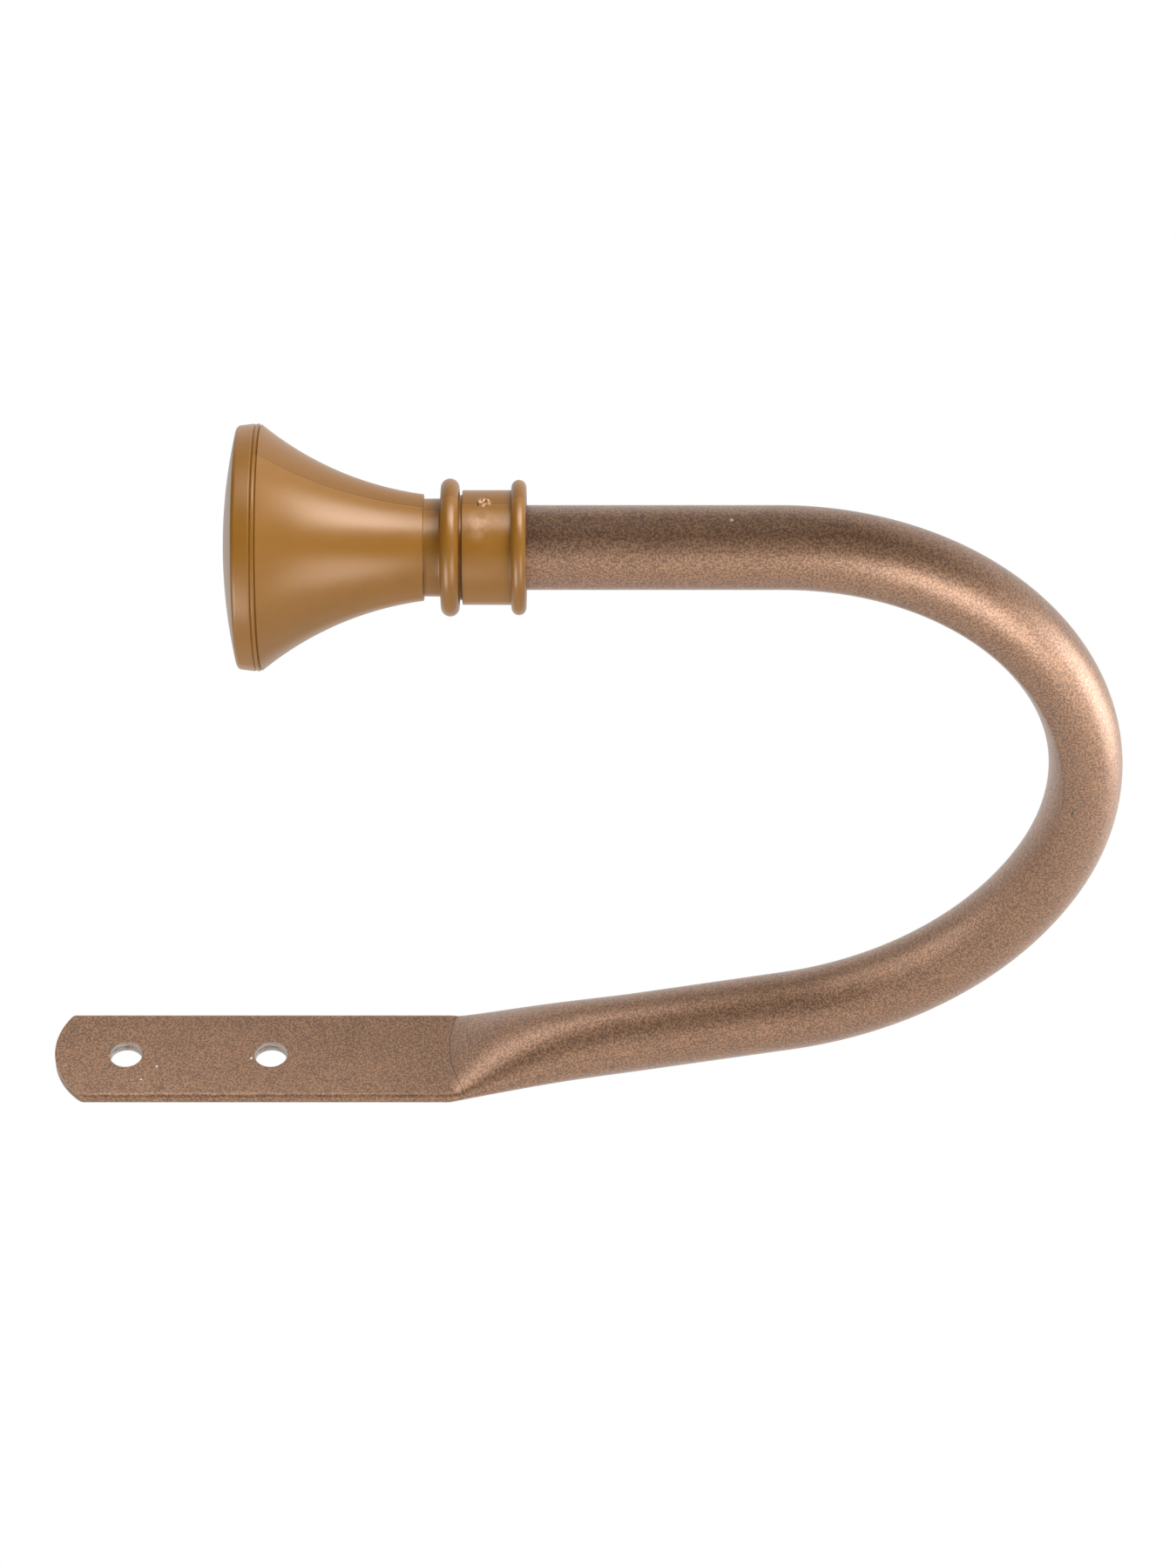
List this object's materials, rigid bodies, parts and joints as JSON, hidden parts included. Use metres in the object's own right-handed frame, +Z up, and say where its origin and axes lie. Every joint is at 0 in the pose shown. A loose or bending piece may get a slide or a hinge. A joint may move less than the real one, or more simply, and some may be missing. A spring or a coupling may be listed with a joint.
{
  "type": "curtain holdback",
  "caption": "U-bent tube with a flattened, drilled strap for wall screws at one end and a capped trumpet finial on the other, holding a drawn curtain in its bend.",
  "frame": {"origin": "on the back face of the flat strap, midway between its screw holes", "axes": "+Y into the wall, so the part stands out towards -Y; +X along the strap towards the bend; +Z up, square to the plane of the bend"},
  "size_m": [0.2153, 0.1656, 0.0466],
  "materials": {
    "coated_tube": "rose-bronze metallic powder coat, satin",
    "pearl_plastic": "pearlescent old-gold moulded plastic"
  },
  "bodies": {
    "root": {"bent_tube": "coated_tube", "trumpet_finial": "pearl_plastic", "finial_cap": "pearl_plastic"}
  },
  "joints": []
}
